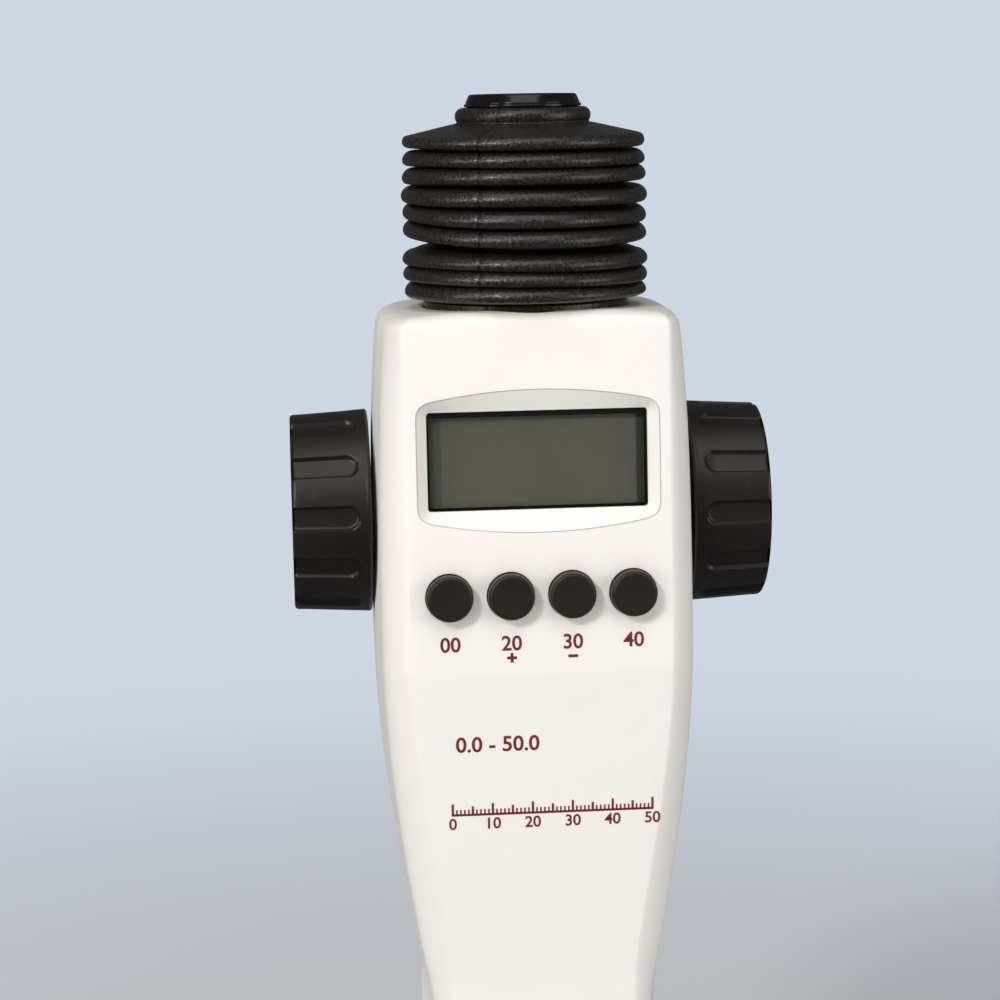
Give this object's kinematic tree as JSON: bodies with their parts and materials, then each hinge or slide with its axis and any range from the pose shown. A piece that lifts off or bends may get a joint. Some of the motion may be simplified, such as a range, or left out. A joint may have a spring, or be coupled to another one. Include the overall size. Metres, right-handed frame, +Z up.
{
  "type": "digital burette",
  "caption": "Hand-driven bottle-top burette: rack-lifted piston in a glass cylinder, display housing with two handwheels, rubber bellows and threaded bottle collar.",
  "frame": {"origin": "middle of the collar's open mouth, on the axis of the rod and the bottle neck", "axes": "+X to the right seen from the display side, +Y towards the back, +Z up along the piston rod"},
  "size_m": [0.1036, 0.1275, 0.2907],
  "materials": {
    "housing_plastic": "off-white, faintly grained",
    "cover_plastic": "off-white",
    "screw_steel": "bright",
    "clear_window": "clear, polished",
    "lcd_glass": "smoked grey-olive",
    "black_plastic": "black",
    "zebra_rubber": "pink striped elastomer",
    "board_green": "solder mask",
    "component_black": "moulded",
    "contact_metal": "plated",
    "cell_jacket": "printed jacket",
    "key_plastic": "charcoal, fine grain",
    "wheel_plastic": "charcoal, fine grain",
    "cap_plastic": "black, polished",
    "shaft_steel": "ground",
    "bronze": "sintered",
    "brass": "cut teeth",
    "gear_plastic": "natural acetal",
    "frame_aluminium": "milled",
    "guide_plastic": "natural acetal",
    "ptfe": "white, waxy",
    "seal_rubber": "smooth",
    "bellows_rubber": "soft black",
    "cylinder_glass": "borosilicate, clear",
    "block_plastic": "white",
    "ball_ceramic": "polished",
    "knob_red": "dark red",
    "tube_clear": "translucent",
    "nut_grey": "dark grey",
    "collar_grey": "dark grey, ribbed",
    "gasket_grey": "pale"
  },
  "bodies": {
    "housing": {"front_shell": "housing_plastic", "rear_shell": "housing_plastic", "housing_screws": "screw_steel", "display_window": "clear_window", "lcd_panel": "lcd_glass", "lcd_frame": "black_plastic", "zebra_strips": "zebra_rubber", "circuit_board": "board_green", "board_components": "component_black", "tact_switches": "component_black", "opto_sensor": "component_black", "board_screws": "screw_steel", "batteries": "cell_jacket", "battery_contacts": "contact_metal", "shaft_bushes": "bronze", "gear_frame": "frame_aluminium", "frame_screws": "screw_steel", "rod_guide": "guide_plastic", "bellows": "bellows_rubber", "bellows_ring": "screw_steel", "ring_screws": "screw_steel", "glass_cylinder": "cylinder_glass", "cylinder_gasket": "seal_rubber", "cylinder_head": "ptfe", "valve_block": "block_plastic", "inlet_nipple": "ptfe", "vent_plug": "nut_grey", "discharge_tube": "tube_clear", "tube_nut": "nut_grey", "collar_gasket": "gasket_grey"},
    "handwheels": {"handwheel_left": "wheel_plastic", "handwheel_right": "wheel_plastic", "wheel_caps": "wheel_plastic", "wheel_screws": "screw_steel", "drive_shaft": "shaft_steel", "drive_pinion": "brass", "encoder_disc": "black_plastic"},
    "counter_gear": {"counter_shaft": "shaft_steel", "reduction_gear": "gear_plastic", "rack_pinion": "brass"},
    "piston_rod": {"rack_rod": "shaft_steel", "piston": "ptfe", "piston_seal": "seal_rubber", "bellows_cap": "cap_plastic", "cap_screw": "screw_steel"},
    "reset_key": {"key_reset": "key_plastic"},
    "plus_key": {"key_plus": "key_plastic"},
    "minus_key": {"key_minus": "key_plastic"},
    "memory_key": {"key_memory": "key_plastic"},
    "cover": {"battery_cover": "cover_plastic"},
    "valve": {"valve_knob": "knob_red"},
    "collar": {"bottle_collar": "collar_grey"},
    "cap": {"tip_cap": "knob_red"},
    "suction_valve": {"suction_ball": "ball_ceramic"},
    "discharge_valve": {"discharge_ball": "ball_ceramic"}
  },
  "joints": [
    {"name": "handwheel_turn", "type": "hinge", "parent": "housing", "child": "handwheels", "pos_m": [0, 0.0085, 0.2], "axis": [1, 0, 0], "range_deg": [0, 1485]},
    {"name": "counter_turn", "type": "hinge", "parent": "housing", "child": "counter_gear", "pos_m": [0, 0.0085, 0.2144], "axis": [1, 0, 0], "range_deg": [-743, 0]},
    {"name": "piston_lift", "type": "slide", "parent": "housing", "child": "piston_rod", "axis": [0, 0, 1], "range_m": [0, 0.0622], "deforming": ["bellows"]},
    {"name": "reset_press", "type": "slide", "parent": "housing", "child": "reset_key", "axis": [0, 0.999, -0.0436], "range_m": [0, 0.0008], "stiffness_N_per_m": 500},
    {"name": "plus_press", "type": "slide", "parent": "housing", "child": "plus_key", "axis": [0, 0.999, -0.0436], "range_m": [0, 0.0008], "stiffness_N_per_m": 500},
    {"name": "minus_press", "type": "slide", "parent": "housing", "child": "minus_key", "axis": [0, 0.999, -0.0436], "range_m": [0, 0.0008], "stiffness_N_per_m": 500},
    {"name": "memory_press", "type": "slide", "parent": "housing", "child": "memory_key", "axis": [0, 0.999, -0.0436], "range_m": [0, 0.0008], "stiffness_N_per_m": 500},
    {"name": "battery_cover_pull", "type": "slide", "parent": "housing", "child": "cover", "axis": [0, 1, 0], "range_m": [0, 0.02]},
    {"name": "valve_turn", "type": "hinge", "parent": "housing", "child": "valve", "pos_m": [0, -0.008, 0.0295], "axis": [1, 0, 0], "range_deg": [0, 90]},
    {"name": "collar_turn", "type": "hinge", "parent": "housing", "child": "collar", "pos_m": [0, 0, 0.01], "axis": [0, 0, 1], "continuous": true},
    {"name": "tip_cap_pull", "type": "slide", "parent": "housing", "child": "cap", "axis": [0, 0, -1], "range_m": [0, 0.02]},
    {"name": "suction_ball_lift", "type": "slide", "parent": "housing", "child": "suction_valve", "axis": [0, 0, 1], "range_m": [0, 0.001]},
    {"name": "discharge_ball_lift", "type": "slide", "parent": "housing", "child": "discharge_valve", "axis": [0, 0, 1], "range_m": [0, 0.001]}
  ],
  "couplings": [
    {"joint": "handwheel_turn", "follows": "piston_lift", "rad_per_m": 416.67},
    {"joint": "counter_turn", "follows": "piston_lift", "rad_per_m": -208.33}
  ]
}
